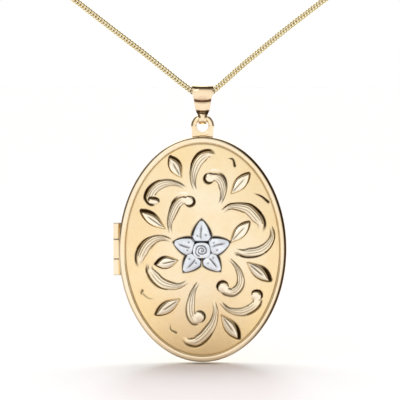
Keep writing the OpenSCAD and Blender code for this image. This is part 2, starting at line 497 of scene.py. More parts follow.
@dataclass(frozen=True)
class Finish:
    """What every finish has: a name and the material slot of the record that it goes with."""

    name: str
    slot: str

    def material(self) -> bpy.types.Material:
        """Finds the finish's material, or makes it at its first use.

        Returns:
            The material.
        """
        title = f"finish_{self.name}"
        made = bpy.data.materials.get(title)
        if made is None:
            made = bpy.data.materials.new(title)
            made.use_nodes = True
            w = Wiring(made.node_tree)
            self.lay(w, made.node_tree.nodes["Principled BSDF"])
        return made

    def lay(self, w: Wiring, skin: bpy.types.Node) -> None:
        """Lays out the material's nodes round its Principled shader.

        Args:
            w: the material's wiring.
            skin: its Principled shader.
        """
        raise NotImplementedError

    def use(self, w: Wiring, effect: Effect, **inputs: object) -> bpy.types.Node:
        """Places a shared effect in this material with its own values."""
        return w.add("ShaderNodeGroup", {"node_tree": Effects.group(effect)}, **inputs)


@dataclass(frozen=True)
class MetalFinish(Finish):
    """Polished or satin metal, with painted shade in its hollows and grooves, and painted
    highlights and a painted reflection tint where the mesh marks them.
    """

    colour: Colour
    warm: Colour
    # Colour that painted shade turns the metal toward.
    dark: Colour = (0.035, 0.016, 0.004)
    rough: float = 0.12
    rough_more: float = 0.06
    grain: float = 9000.0
    bump: float = 0.05
    patches: float = 160.0
    hollow: float = 0.5
    marked: bool = False
    # Colour of painted highlights.
    bright: Colour = (1.0, 0.95, 0.82)
    # Colour of the painted reflection tint.
    deep: Colour = (0.98, 0.72, 0.33)
    reach: float = 0.08
    shine_share: float = 0.75
    shine_rough: float = 0.55
    cut_rough: float = 0.2
    bump_depth: float = 0.00002

    def lay(self, w: Wiring, skin: bpy.types.Node) -> None:
        """Lays out the metal's nodes.

        Args:
            w: the material's wiring.
            skin: its Principled shader.
        """
        tone = self.use(w, Effect.TONE, Scale=self.patches).outputs["Mask"]
        grain = self.use(w, Effect.GRAIN, Scale=self.grain)
        crevice = self.use(w, Effect.CREVICE, Reach=self.reach)
        colour = w.mix(tone, self.colour, self.warm)
        shade = w.maths("MULTIPLY", crevice.outputs["Hollow"], self.hollow)
        rough = w.maths("ADD", self.rough,
                        w.maths("MULTIPLY", grain.outputs["Mask"], self.rough_more))
        if self.marked:
            # The mesh marks painted shade, painted highlights and a painted reflection tint.
            cut, shine, blush = (
                w.add("ShaderNodeAttribute", {"attribute_name": title}).outputs["Fac"]
                for title in ("cut", "shine", "blush"))
            colour = w.mix(blush, colour, self.deep)
            colour = w.mix(w.maths("MULTIPLY", shine, self.shine_share), colour, self.bright)
            polish = w.spread(shine, 0.0, 1.0, 1.0, self.shine_rough)
            rough = w.maths("MULTIPLY", rough, polish)
            shade = w.maths("MAXIMUM", shade, cut)
        # Painted shade: hollows and marked places turn toward the dark colour.
        w.feed(skin.inputs["Base Color"], w.mix(shade, colour, self.dark))
        duller = w.maths("MULTIPLY", shade, self.cut_rough)
        w.feed(skin.inputs["Roughness"], w.maths("ADD", rough, duller))
        bump = w.add("ShaderNodeBump", Strength=self.bump, Distance=self.bump_depth,
                     Height=grain.outputs["Height"])
        w.feed(skin.inputs["Normal"], bump.outputs[0])
        skin.inputs["Metallic"].default_value = 1.0


@dataclass(frozen=True)
class ClearFinish(Finish):
    """Thin clear sheet with a faint tint."""

    tint: Colour = (0.97, 0.98, 0.97)
    second_tint: Colour = (0.93, 0.95, 0.93)
    patches: float = 120.0
    grain: float = 700.0
    rough: tuple[float, float] = (0.02, 0.06)
    refraction: float = 1.46

    def lay(self, w: Wiring, skin: bpy.types.Node) -> None:
        """Lays out the clear sheet's nodes.

        Args:
            w: the material's wiring.
            skin: its Principled shader.
        """
        grain = self.use(w, Effect.GRAIN, Scale=self.grain)
        tone = self.use(w, Effect.TONE, Scale=self.patches).outputs["Mask"]
        w.feed(skin.inputs["Base Color"], w.mix(tone, self.tint, self.second_tint))
        w.feed(skin.inputs["Roughness"], w.spread(grain.outputs["Mask"], 0.0, 1.0, *self.rough))
        skin.inputs["Metallic"].default_value = 0.0
        skin.inputs["Transmission Weight"].default_value = 1.0
        skin.inputs["IOR"].default_value = self.refraction


@dataclass(frozen=True)
class CardFinish(Finish):
    """Blank picture card with paper fibres."""

    colour: Colour = (0.86, 0.82, 0.72)
    shade: Colour = (0.78, 0.72, 0.6)
    fibre: Colour = (0.93, 0.9, 0.84)
    fibre_share: float = 0.25
    patches: float = 220.0
    grain: float = 3500.0
    rough: tuple[float, float] = (0.55, 0.75)
    bump: float = 0.35
    bump_depth: float = 0.00003

    def lay(self, w: Wiring, skin: bpy.types.Node) -> None:
        """Lays out the card's nodes.

        Args:
            w: the material's wiring.
            skin: its Principled shader.
        """
        grain = self.use(w, Effect.GRAIN, Scale=self.grain)
        tone = self.use(w, Effect.TONE, Scale=self.patches).outputs["Mask"]
        colour = w.mix(tone, self.colour, self.shade)
        fleck = w.maths("MULTIPLY", grain.outputs["Mask"], self.fibre_share)
        w.feed(skin.inputs["Base Color"], w.mix(fleck, colour, self.fibre))
        w.feed(skin.inputs["Roughness"], w.spread(grain.outputs["Mask"], 0.0, 1.0, *self.rough))
        bump = w.add("ShaderNodeBump", Strength=self.bump, Distance=self.bump_depth,
                     Height=grain.outputs["Height"])
        w.feed(skin.inputs["Normal"], bump.outputs[0])


class Finishes:
    """The finishes of this locket."""

    # Each finish's dark is its painted shade colour and bright its painted highlight colour.
    SATIN = MetalFinish("satin_gold", "satin_gold", colour=(0.98, 0.85, 0.62),
                        warm=(0.96, 0.77, 0.48), rough=0.25, rough_more=0.1, grain=14000.0,
                        bump=0.1, marked=True, hollow=0.0)
    POLISHED = MetalFinish("polished_gold", "polished_gold", colour=(0.97, 0.82, 0.58),
                           warm=(0.96, 0.77, 0.5), rough=0.08, rough_more=0.04)
    BORDER = MetalFinish("border_gold", "polished_gold", colour=(0.97, 0.84, 0.62),
                         warm=(0.96, 0.78, 0.52), rough=0.1, rough_more=0.05, marked=True,
                         dark=(0.06, 0.03, 0.01))
    BAIL = MetalFinish("bail_gold", "polished_gold", colour=(0.97, 0.83, 0.57),
                       warm=(0.95, 0.75, 0.52), rough=0.09, rough_more=0.04, marked=True,
                       dark=(0.09, 0.035, 0.01))
    CHAIN = MetalFinish("chain_gold", "chain_gold", colour=(0.84, 0.74, 0.42),
                        warm=(0.8, 0.66, 0.33), rough=0.14, rough_more=0.06, hollow=0.75)
    WHITE = MetalFinish("white_gold", "white_gold", colour=(0.86, 0.9, 0.93),
                        warm=(0.56, 0.61, 0.68), patches=650.0, dark=(0.02, 0.022, 0.035),
                        rough=0.16, rough_more=0.08, marked=True, hollow=0.2,
                        bright=(0.86, 0.89, 0.94))
    SPRING = MetalFinish("spring_steel", "spring_steel", colour=(0.6, 0.6, 0.6),
                         warm=(0.55, 0.53, 0.5), rough=0.2, hollow=0.6)
    WINDOW = ClearFinish("clear_window", "clear_window")
    CARD = CardFinish("blank_card", "blank_card")


# ---------- studio ----------


@dataclass
class Studio:
    """Camera, white surroundings, soft lamps and a pale floor."""

    aim: tuple[float, float, float] = (-0.4, 0.0, -16.2)
    distance: float = 450.0
    lens: float = 261.0
    height_angle: float = 3.2
    floor_gap: float = 0.35
    floor_half: float = 2.5
    floor_colour: Colour = (0.93, 0.92, 0.92)
    floor_rough: float = 0.6
    fill: Colour = (0.68, 0.62, 0.61)
    white: Colour = (1.0, 1.0, 1.0)
    cool: Colour = (0.62, 0.95, 1.0)
    ring_levels: tuple[Point, ...] = ((0.0, 0.75), (0.07, 0.7), (0.12, 0.04), (0.52, 0.05),
                                      (0.7, 0.5), (0.86, 0.92), (1.0, 1.06))

    def build(self) -> None:
        """Makes the camera, the surroundings, the lamps and the floor."""
        self.camera()
        self.surroundings()
        self.lamp("key", at=(-180.0, -330.0, 260.0), size=200.0, power=0.12)
        self.sun("top_light", toward=(0.0, -0.57, -0.82), wide=60.0, power=1.26,
                 colour=self.white)
        low = self.sun("low_light", toward=(0.0, -0.894, -0.447), wide=14.0, power=1.0,
                       colour=self.cool)
        low.visible_glossy = False
        self.floor()

    def camera(self) -> None:
        """Long lens a little above the middle of the locket."""
        data = bpy.data.cameras.new("camera")
        data.lens, data.sensor_width = self.lens, 36.0
        data.clip_start, data.clip_end = 0.02, 20.0
        eye = placed("camera", data)
        up = math.radians(self.height_angle)
        back = Vector((0.0, -math.cos(up), math.sin(up)))
        eye.location = (Vector(self.aim) + back * self.distance) * MM
        eye.rotation_euler = (-back).to_track_quat("-Z", "Y").to_euler()
        bpy.context.scene.camera = eye

    def surroundings(self) -> None:
        """White all round, with a ring of dark cards that polished edges pick up."""
        bpy.context.scene.view_settings.view_transform = "Standard"
        world = bpy.data.worlds.new("studio")
        world.use_nodes = True
        bpy.context.scene.world = world
        tree = world.node_tree
        tree.nodes.clear()
        w = Wiring(tree)
        way = w.add("ShaderNodeTexCoord").outputs["Generated"]
        parts = w.add("ShaderNodeSeparateXYZ", Vector=way)
        facing = w.maths("ABSOLUTE", parts.outputs["Y"])
        ramp = w.add("ShaderNodeValToRGB", Fac=facing)
        stops = ramp.color_ramp
        while len(stops.elements) < len(self.ring_levels):
            stops.elements.new(0.5)
        for stop, (at, level) in zip(stops.elements, self.ring_levels):
            stop.position = at
            warm = 1.0 - level
            stop.color = (level, level * (0.985 - 0.2 * warm), level * (0.96 - 0.4 * warm), 1.0)
        path = w.add("ShaderNodeLightPath").outputs
        colour = w.mix(path["Is Diffuse Ray"], ramp.outputs[0], self.fill)
        colour = w.mix(path["Is Camera Ray"], colour, self.white)
        back = w.add("ShaderNodeBackground", Color=colour, Strength=1.0)
        end = w.add("ShaderNodeOutputWorld")
        tree.links.new(back.outputs[0], end.inputs[0])

    def lamp(self, name: str, at: tuple[float, float, float], size: float,
             power: float) -> None:
        """Square soft lamp that points at the locket.

        Args:
            name: the lamp's name.
            at: its place.
            size: the length of its side.
            power: its power in watts.
        """
        data = bpy.data.lights.new(name, "AREA")
        data.size, data.energy = size * MM, power
        made = placed(name, data)
        made.location = Vector(at) * MM
        toward = Vector(self.aim) * MM - made.location
        made.rotation_euler = toward.to_track_quat("-Z", "Y").to_euler()

    def sun(self, name: str, toward: tuple[float, float, float], wide: float, power: float,
            colour: Colour) -> bpy.types.Object:
        """Soft light from far off, which shines the same way everywhere.

        Args:
            name: the light's name.
            toward: the way that it shines.
            wide: how wide it looks from the locket, in degrees.
            power: its strength.
            colour: its colour.

        Returns:
            The light.
        """
        data = bpy.data.lights.new(name, "SUN")
        data.energy, data.angle, data.color = power, math.radians(wide), colour
        made = placed(name, data)
        made.rotation_euler = Vector(toward).to_track_quat("-Z", "Y").to_euler()
        return made

    def floor(self) -> None:
        """Pale floor just under the locket."""
        low = CAD_BOX[0].z / MM - self.floor_gap
        half = self.floor_half / MM
        points = np.array([(-half, -half, low), (half, -half, low), (half, half, low),
                           (-half, half, low)])
        made = Workshop.solid("floor", points, [(0, 1, 2, 3)])
        paint = bpy.data.materials.new("pale_floor")
        paint.use_nodes = True
        skin = paint.node_tree.nodes["Principled BSDF"]
        skin.inputs["Base Color"].default_value = (*self.floor_colour, 1.0)
        skin.inputs["Roughness"].default_value = self.floor_rough
        skin.inputs["Specular IOR Level"].default_value = 0.0
        made.data.materials.append(paint)


# ---------- chain ----------


@dataclass
class CurbChain:
    """Two runs of fine twisted curb links, with the fittings at their ends."""

    body: str = "chain"
    wire: float = 0.115
    width: float = 0.9
    pitch: float = 0.5
    twist: float = 52.0
    reach: float = 30.0
    look: float = 0.2
    last_shift: float = 0.25
    last_start: float = 0.03
    last_stretch: float = 1.42
    left_run: tuple[Point, ...] = (
        (0, 0), (-0.3, 0), (-0.8, 0.15), (-1.3, 0.4), (-1.8, 0.8), (-3.4, 2), (-5, 3.3),
        (-7, 4.9), (-9.5, 6.9), (-12, 8.8), (-14.5, 10.7), (-17, 12.65), (-19, 14.2),
        (-21, 15.7), (-22.5, 16.85), (-24, 18))
    right_run: tuple[Point, ...] = (
        (0, 0), (0.3, 0), (0.8, 0.15), (1.3, 0.4), (1.8, 0.8), (3.3, 2.1), (4.9, 3.55),
        (6.8, 5.2), (9.2, 7.2), (11.6, 9.2), (14, 11.1), (16.4, 12.95), (18.5, 14.55),
        (20.5, 16.05), (22.1, 17.25), (23.7, 18.45))

    def build(self) -> None:
        nodes = frame["nodes"]
        clasp = [nodes[n] for n in ("clasp_jump_ring", "clasp_ring", "clasp_spring",
                                    "clasp_bolt")]
        plate = dress(Workshop.soften("end_tag", "end_tag_plate", grain=0.04, passes=5),
                      self.body, Finishes.CHAIN)
        tag = [nodes["tag_jump_ring"], plate]
        self.run("curb_links_left", "chain_left", self.left_run, "connector", clasp)
        self.run("curb_links_right", "chain_right", self.right_run, "fitting", tag)
        for piece in clasp + tag[:1]:
            finish = Finishes.SPRING if piece.name == "clasp_spring" else Finishes.CHAIN
            dress_node(piece.name, finish)

    def run(self, name: str, node: str, route: tuple[Point, ...], far_end: str,
            fittings: list[bpy.types.Object]) -> None:
        """Makes one run of links.

        Args:
            name: the run's name.
            node: the CAD node that it replaces.
            route: its middle line, as X and Z.
            fittings: the pieces at its far end; not used.
        """
        line = np.array(route, float)
        steps = np.concatenate([[0.0], np.cumsum(np.linalg.norm(np.diff(line, axis=0), axis=1))])
        count = int(round(steps[-1] / self.pitch))
        pitch = steps[-1] / count
        points, faces = [], []
        for k in range(count):
            at = (k + 0.5) * pitch
            last = k == count - 1
            if last:
                at += self.last_shift
            x, z = (np.interp(at, steps, line[:, i]) for i in (0, 1))
            ahead, behind = (np.array([np.interp(s, steps, line[:, i]) for i in (0, 1)])
                             for s in (min(at + self.look, steps[-1]), at - self.look))
            along = (ahead - behind) / np.linalg.norm(ahead - behind)
            if last:
                x, z = line[-1] + along * self.last_start
            link, sheet = self.link(self.last_stretch if last else 1.0)
            turned = np.stack([x + link[:, 0] * along[0] - link[:, 1] * along[1], link[:, 2],
                               z + link[:, 0] * along[1] + link[:, 1] * along[0]], 1)
            faces.append(sheet + len(link) * k)
            points.append(turned)
        made = Workshop.solid(name, np.vstack(points), np.vstack(faces))
        dress(made, self.body, Finishes.CHAIN, node)

    def link(self, stretch: float) -> tuple[Array, Array]:
        """One twisted link, flat side forward, along local X.

        Args:
            stretch: how much longer than the others it is.

        Returns:
            Its points and its faces.
        """
        rings, sides = 26, 8
        half_long = (self.pitch / 2 + self.wire) * stretch
        half_wide = self.width / 2 - self.wire
        turn = np.linspace(0.0, 2 * math.pi, rings, endpoint=False)
        u, v = half_long * np.cos(turn), half_wide * np.sin(turn)
        lean = math.radians(self.twist) * np.cos(turn)
        centre = np.stack([u, v * np.cos(lean), -v * np.sin(lean)], 1)
        ahead = np.roll(centre, -1, 0) - np.roll(centre, 1, 0)
        ahead /= np.linalg.norm(ahead, axis=1)[:, None]
        side = np.cross(ahead, (0.0, 0.0, 1.0))
        side /= np.linalg.norm(side, axis=1)[:, None]
        up = np.cross(side, ahead)
        spin = np.linspace(0.0, 2 * math.pi, sides, endpoint=False)
        points = (centre[:, None] + self.wire * (np.cos(spin)[None, :, None] * side[:, None]
                                                 + np.sin(spin)[None, :, None] * up[:, None]))
        return points.reshape(-1, 3), Workshop.ring_faces(rings, sides, close_rows=True)


# ---------- case ----------


@dataclass
class CaseShape:
    """Sizes that the pieces of the case share. Depth is measured away from the closing line."""

    width: float = 26.0
    height: float = 35.0
    middle_z: float = -23.8
    half_depth: float = 1.8
    wall: float = 0.55
    border: float = 0.95
    border_under: float = 1.3
    plate_in: float = 1.0
    plate_edge: float = 1.55
    plate_under: float = 0.95
    sheet: float = 0.35
    dome_rise: float = 1.2
    gap: float = 0.02
    hinge_x: float = -13.25
    hinge_relief: float = 0.66
    hinge_half: float = 4.11
    # The way, in degrees up from the right, where the border's painted shade is widest.
    shaded_way: float = 12.0

    def oval(self, inset: float, turns: Array) -> tuple[Array, Array]:
        """X and Z of an oval this far in from the case's edge, Z from the case's middle."""
        return ((self.width / 2 - inset) * np.cos(turns),
                (self.height / 2 - inset) * np.sin(turns))

    def dome(self, x: Array, z: Array) -> Array:
        """Depth of the plain domed plate at a place.

        Args:
            x: distance across from the case's middle.
            z: distance up from the case's middle.

        Returns:
            The depth of the dome's outer face.
        """
        half_x, half_z = self.width / 2 - self.plate_in, self.height / 2 - self.plate_in
        across = (half_x**2 + self.dome_rise**2) / (2 * self.dome_rise)
        along = (half_z**2 + self.dome_rise**2) / (2 * self.dome_rise)
        apex = self.plate_edge + self.dome_rise
        ring = along - across + np.sqrt(across**2 - x**2)
        return apex - along + np.sqrt(ring**2 - z**2)

    def place(self, x: Array, depth: Array, z: Array, side: float) -> Array:
        """Points of one half: side is 1 for the front half and -1 for the back half."""
        return np.stack([x, -side * depth, z + self.middle_z], 1)

    def sweep(self, name: str, outline: list[Point], side: float, turns: int = 420,
              lines: dict[int, float] | None = None) -> bpy.types.Object:
        """Ring with the same outline all the way round the oval.

        Args:
            name: the object's name.
            outline: inset and depth of each corner, in order round the ring's section.
            side: 1 for the front half, -1 for the back half.
            turns: how many places round the oval.
            lines: how dark the painted shade on the outline's corners is, by their number; it is
                weaker away from shaded_way.

        Returns:
            The ring.
        """
        angle = np.linspace(0.0, 2 * math.pi, turns, endpoint=False)
        rows = []
        for inset, depth in outline:
            x, z = self.oval(inset, angle)
            rows.append(self.place(x, np.full(turns, depth), z, side))
        points = self.clear_hinge(np.vstack(rows))
        faces = Workshop.ring_faces(len(outline), turns, close_rows=True)
        inset, depth = np.array(outline).T
        around = np.sum(inset * np.roll(depth, -1) - depth * np.roll(inset, -1))
        if side * around > 0:
            faces = faces[:, ::-1]
        # Painted shade: dark lines round the outline's corners, wider and full strength toward
        # shaded_way and weaker on the far side.
        dark = np.array([(lines or {}).get(i, 0.0) for i in range(len(outline))])
        wide = np.maximum(dark, np.roll(dark, 3))
        shaded = smooth(np.cos(angle - math.radians(self.shaded_way)), 0.1, 0.8)
        cut = np.outer(dark, 0.5 + 0.4 * shaded) * (1 - shaded) + np.outer(wide, shaded)
        return Workshop.solid(name, points, faces, sharp=50.0, cut=cut.ravel())

    def clear_hinge(self, points: Array) -> Array:
        """Pushes points out of the round hollow that the hinge turns in.

        Args:
            points: the points, which are changed in place.

        Returns:
            The same points.
        """
        near = np.abs(points[:, 2] - self.middle_z) < self.hinge_half
        room = self.hinge_relief**2 - points[:, 1] ** 2
        edge = self.hinge_x + np.sqrt(np.maximum(room, 0.0))
        inside = near & (room > 0) & (points[:, 0] < edge)
        points[inside, 0] = edge[inside]
        return points


def arc(centre: Point, radius: float, start: float, end: float, steps: int) -> list[Point]:
    """Corners along part of a circle.

    Args:
        centre: middle of the circle.
        radius: its radius.
        start: angle of the first corner, in degrees.
        end: angle of the last corner, in degrees.
        steps: how many straight stretches lie between them.

    Returns:
        The corners, in order.
    """
    angles = [math.radians(start + (end - start) * i / steps) for i in range(steps + 1)]
    return [(centre[0] + radius * math.cos(a), centre[1] + radius * math.sin(a))
            for a in angles]


class Tip(Enum):
    """How a scroll ends."""

    FADE = "fades into the field"
    HOOK = "turns over in a round hook"
    BULB = "closes on a round bulb"


@dataclass(frozen=True)
class Bulb:
    """Round or long bulb at a scroll's end. Its painted shade is darkest on the side that
    dark_way points to, in degrees up from the right."""

    start: Point
    end: Point
    radius: float
    dark_way: float


@dataclass(frozen=True)
class Scroll:
    """One stamped scroll. Its points follow its outer edge from root to tip, measured from the
    case's middle."""

    points: tuple[Point, ...]
    tip: Tip = Tip.FADE
    half: float = 0.6
    bulb: Bulb | None = None
    # How strong and wide the painted shade along the outer groove is.
    edge: float = 1.0


@dataclass(frozen=True)
class Leaf:
    """One stamped leaf, from its base to its pointed tip."""

    base: Point
    tip: Point
    half: float = 0.85
    # How wide the painted shade round the outline is.
    edge: float = 1.0


@dataclass
class Relief:
    """Heights worked into the cover's sheet, with painted shade in its grooves and painted
    highlights on its raised tops.
    """

    x: Array
    z: Array
    band_height: float = 0.26
    leaf_height: float = 0.38
    bulb_height: float = 0.24
    cut_depth: float = 0.25
    # fine_dark, inner_dark and vein_dark: how much painted shade lies in these grooves.
    fine_places: Point = (0.3, -0.36)
    fine_half: float = 0.065
    fine_depth: float = 0.08
    fine_dark: float = 0.72
    inner_half: float = 0.08
    inner_depth: float = 0.12
    inner_dark: float = 0.7
    groove_depth: float = 0.14
    margin: float = 0.6
    root_width: float = 0.3
    widen: Point = (0.0, 0.5)
    root_fade: Point = (0.0, 0.14)
    tip_taper: float = 0.55
    taper: Point = (0.7, 1.0)
    tip_fade: Point = (0.86, 1.0)
    bulb_fade: Point = (0.95, 1.0)
    hook_clear: Point = (0.68, 0.84)
    hook_bright: Point = (0.72, 0.9)
    fine_root: Point = (0.04, 0.2)
    fine_tip: Point = (0.72, 0.88)
    vein_half: float = 0.1
    vein_dark: float = 0.75
    vein_root: Point = (0.08, 0.2)
    vein_tip: Point = (0.6, 0.8)
    # Leaves carry thicker painted shade on the side that faces this way.
    shade_way: Point = (0.6, 0.8)
    height: Array = field(init=False)
    cut: Array = field(init=False)
    shine: Array = field(init=False)

    scrolls: tuple[Scroll, ...] = (
        Scroll(((-1.2, 8.9), (-1.8, 10.4), (-1.95, 12.2), (-1.5, 13.8), (-0.5, 15.0),
                (0.9, 15.4), (2.2, 14.9)), half=0.66),
        Scroll(((2.8, 6.9), (3.55, 8.6), (3.75, 10.1), (3.25, 11.4), (2.2, 12.0), (1.1, 11.95)),
               Tip.HOOK, half=0.56, bulb=Bulb((1.15, 11.2), (1.1, 11.15), 0.72, 215.0)),
        Scroll(((-2.3, 9.6), (-3.7, 10.5), (-5.4, 10.9), (-7.1, 10.55), (-8.3, 9.6),
                (-8.85, 8.5), (-8.75, 7.6), (-8.1, 7.0), (-7.2, 6.95)), Tip.BULB, half=0.6,
               bulb=Bulb((-8.0, 7.55), (-7.2, 7.45), 0.4, 75.0), edge=1.3),
        Scroll(((-5.1, 2.4), (-5.45, 4.2), (-5.2, 5.9), (-4.5, 7.5), (-3.3, 8.45), (-2.1, 8.35)),
               Tip.HOOK, half=0.56, bulb=Bulb((-2.15, 7.65), (-2.1, 7.6), 0.72, -35.0)),
        Scroll(((-4.6, 1.6), (-5.9, 2.2), (-7.6, 2.2), (-9.2, 1.3), (-10.2, -0.3),
                (-10.3, -1.8), (-9.8, -2.9)), half=0.7),
        Scroll(((-1.9, -4.9), (-3.8, -6.05), (-6.2, -6.0), (-7.8, -4.9), (-8.6, -3.4),
                (-8.6, -1.9)), half=0.7, edge=0.6),
        Scroll(((-0.7, -4.7), (-1.9, -6.5), (-2.5, -8.6), (-2.4, -10.3), (-1.6, -11.5),
                (-0.5, -11.55)), Tip.BULB, half=0.56,
               bulb=Bulb((-0.65, -10.45), (-0.6, -10.4), 0.85, 25.0), edge=0.6),
        Scroll(((1.9, -7.6), (2.4, -9.6), (2.1, -11.8), (0.9, -13.8), (-0.7, -15.0),
                (-2.3, -14.8), (-3.4, -13.9)), half=0.7, edge=0.7),
        Scroll(((4.1, -1.0), (5.8, -2.8), (6.45, -4.6), (6.1, -6.1), (4.9, -7.1),
                (3.6, -7.0), (2.7, -6.4)), Tip.BULB, half=0.5,
               bulb=Bulb((3.25, -5.85), (3.2, -5.8), 0.84, 130.0), edge=0.7),
        Scroll(((2.5, -8.1), (3.9, -9.6), (5.8, -10.25), (7.6, -9.8), (8.8, -8.8),
                (9.25, -7.6)), Tip.BULB, half=0.56,
               bulb=Bulb((8.35, -7.2), (8.3, -7.15), 0.76, 60.0), edge=0.7),
        Scroll(((2.7, 6.1), (4.5, 7.2), (7.2, 7.1), (9.0, 5.6), (9.65, 4.1), (9.3, 2.6)),
               half=0.72, edge=1.3),
        Scroll(((10.8, 3.9), (11.15, 2.0), (10.4, 0.2), (8.8, -0.9), (6.6, -1.1),
                (4.7, -0.3)), half=0.62),
    )
    leaves: tuple[Leaf, ...] = (
        Leaf((-3.3, 11.2), (-5.1, 14.3)),
        Leaf((4.4, 8.7), (7.2, 11.8), edge=1.6),
        Leaf((-5.8, 3.3), (-9.5, 5.9), half=0.75, edge=1.3),
        Leaf((4.3, 1.2), (7.2, 4.3), edge=1.5),
        Leaf((-3.8, -1.6), (-7.2, -2.3)),
        Leaf((6.9, -1.9), (10.3, -4.8), edge=1.5),
        Leaf((-3.5, -7.6), (-7.2, -10.1)),
        Leaf((2.9, -10.1), (5.5, -13.8), edge=1.2),
    )
    nicks: tuple[tuple[Point, Point, Point, float], ...] = (
        ((3.9, 14.2), (4.7, 14.0), (5.0, 13.0), 1.0),
        ((7.9, 8.8), (9.1, 8.3), (10.2, 7.4), 1.0),
        ((-9.5, -7.1), (-9.5, -6.7), (-9.3, -6.3), 0.75),
        ((-7.4, -7.7), (-8.4, -7.5), (-9.2, -6.9), 0.45),
        ((-5.0, -11.5), (-4.9, -12.4), (-4.1, -12.9), 0.8),
    )

    def __post_init__(self) -> None:
        """Starts with a plain field."""
        self.height, self.cut, self.shine = (np.zeros(len(self.x)) for _ in range(3))

    def work(self) -> None:
        """Stamps and cuts everything."""
        for scroll in self.scrolls:
            self.stamp_scroll(scroll)
        for leaf in self.leaves:
            self.stamp_leaf(leaf)
        for nick in self.nicks:
            self.cut_nick(nick)

    def near(self, places: Array, reach: float) -> Array:
        """Finds the sheet's points near some places.

        Args:
            places: X and Z of each place.
            reach: how far round them to look.

        Returns:
            Numbers of the sheet's points there.
        """
        low, high = places.min(0) - reach, places.max(0) + reach
        return np.flatnonzero((self.x > low[0]) & (self.x < high[0])
                              & (self.z > low[1]) & (self.z < high[1]))

    def measure(self, line: Array, here: Array) -> tuple[Array, Array, Array]:
        """Where points of the sheet lie beside a line.

        Args:
            line: places along the line.
            here: numbers of the sheet's points.

        Returns:
            For each point, its share of the way along, its distance, and the side it is on,
            which is positive on the outside of the line's bend.
        """
        ahead = np.gradient(line, axis=0)
        ahead /= np.linalg.norm(ahead, axis=1)[:, None]
        bend = np.sum(ahead[:-1, 0] * ahead[1:, 1] - ahead[:-1, 1] * ahead[1:, 0])
        spots = np.stack([self.x[here], self.z[here]], 1)
        gap = ((spots[:, None] - line[None]) ** 2).sum(-1)
        at = gap.argmin(1)
        off = spots - line[at]
        beside = off[:, 1] * ahead[at, 0] - off[:, 0] * ahead[at, 1]
        along = (off * ahead[at]).sum(1)
        at_end = (at == 0) | (at == len(line) - 1)
        distance = np.where(at_end, np.hypot(beside, along), np.abs(beside))
        return at / (len(line) - 1.0), distance, -np.sign(bend) * np.sign(beside)

    def raise_to(self, here: Array, rise: Array, shine: Array) -> None:
        """Raises points to a height if they are lower, and polishes them with a painted
        highlight.
        """
        self.height[here] = np.maximum(self.height[here], rise)
        self.shine[here] = np.maximum(self.shine[here], shine)

    def sink(self, here: Array, mask: Array, depth: float) -> None:
        """Cuts points down by a depth where the mask is strong, and paints shade on them.

        Args:
            here: numbers of the sheet's points.
            mask: how strong the groove and its painted shade are at each one, from 0 to 1.
            depth: how deep a full cut goes.
        """
        self.height[here] -= depth * mask
        self.cut[here] = np.maximum(self.cut[here], mask)
        self.shine[here] *= 1.0 - mask

    def stamp_scroll(self, scroll: Scroll) -> None:
        """Raises one scroll, with fine lines along it and a groove round its outside, painted
        with shade.

        Args:
            scroll: the scroll.
        """
        line = curve_through(scroll.points, 150)
        here = self.near(line, 2 * scroll.half + self.margin)
        way, distance, side = self.measure(line, here)
        half = scroll.half * (self.root_width + (1 - self.root_width) * smooth(way, *self.widen))
        fade = smooth(way, *self.root_fade)
        if scroll.tip is Tip.FADE:
            half = half * (1.0 - self.tip_taper * smooth(way, *self.taper))
            fade = fade * (1.0 - smooth(way, *self.tip_fade))
        else:
            fade = fade * (1.0 - smooth(way, *self.bulb_fade))
        curl = smooth(way, 0.35, 0.7) * (1.0 - 0.5 * smooth(way, 0.92, 1.0))
        thick = (0.06 + 0.13 * curl) * (0.6 + 0.4 * scroll.edge)
        out = side * distance
        across = (out + thick + half) / half
        rise = self.band_height * np.clip(1.0 - np.abs(across) ** 3, 0.0, 1.0) ** 0.8
        rise = rise * (0.86 + 0.14 * across)
        # The band's top gets a painted highlight.
        self.raise_to(here, rise * fade, 0.7 * fade * smooth(1.0 - np.abs(across), 0.0, 0.3))
        length = smooth(way, *self.fine_root) * (1.0 - smooth(way, *self.fine_tip))
        for place in self.fine_places:
            fine = bell((across - place) * half, self.fine_half) * length
            self.sink(here, self.fine_dark * fine, self.fine_depth)
        # Painted shade along the outer groove.
        outer = stroke(out, thick) * fade
        if scroll.tip is Tip.HOOK:
            outer = outer * (1.0 - smooth(way, *self.hook_clear))
        self.sink(here, np.minimum(1.0, outer * (0.55 + 0.45 * scroll.edge)), self.cut_depth)
        inner = stroke((across + 1.0) * half + 0.03, self.inner_half) * fade
        self.sink(here, self.inner_dark * inner, self.inner_depth)
        if scroll.tip is Tip.HOOK:
            # Painted highlight: a bright strip just outside the hook's top.
            top = bell(out - thick - 0.17, 0.12) * smooth(way, *self.hook_bright) * fade
            self.shine[here] = np.maximum(self.shine[here], 1.25 * top)
        if scroll.bulb:
            self.stamp_bulb(scroll.bulb)

    def stamp_bulb(self, bulb: Bulb) -> None:
        """Raises a round bulb with a dark crescent on its shaded side.

        Args:
            bulb: the bulb.
        """
        start, end = np.array(bulb.start), np.array(bulb.end)
        here = self.near(np.array([start, end]), bulb.radius + self.margin)
        spots = np.stack([self.x[here], self.z[here]], 1)
        way = np.clip((spots - start) @ (end - start) / np.sum((end - start) ** 2), 0.0, 1.0)
        off = spots - start - way[:, None] * (end - start)
        out = np.hypot(off[:, 0], off[:, 1])
        rise = self.bulb_height * np.sqrt(np.clip(1.0 - (out / bulb.radius) ** 2, 0.0, 1.0))
        inside = smooth(bulb.radius - out, 0.0, 0.1)
        self.cut[here] *= 1.0 - inside
        self.raise_to(here, rise, 0.8 * inside)
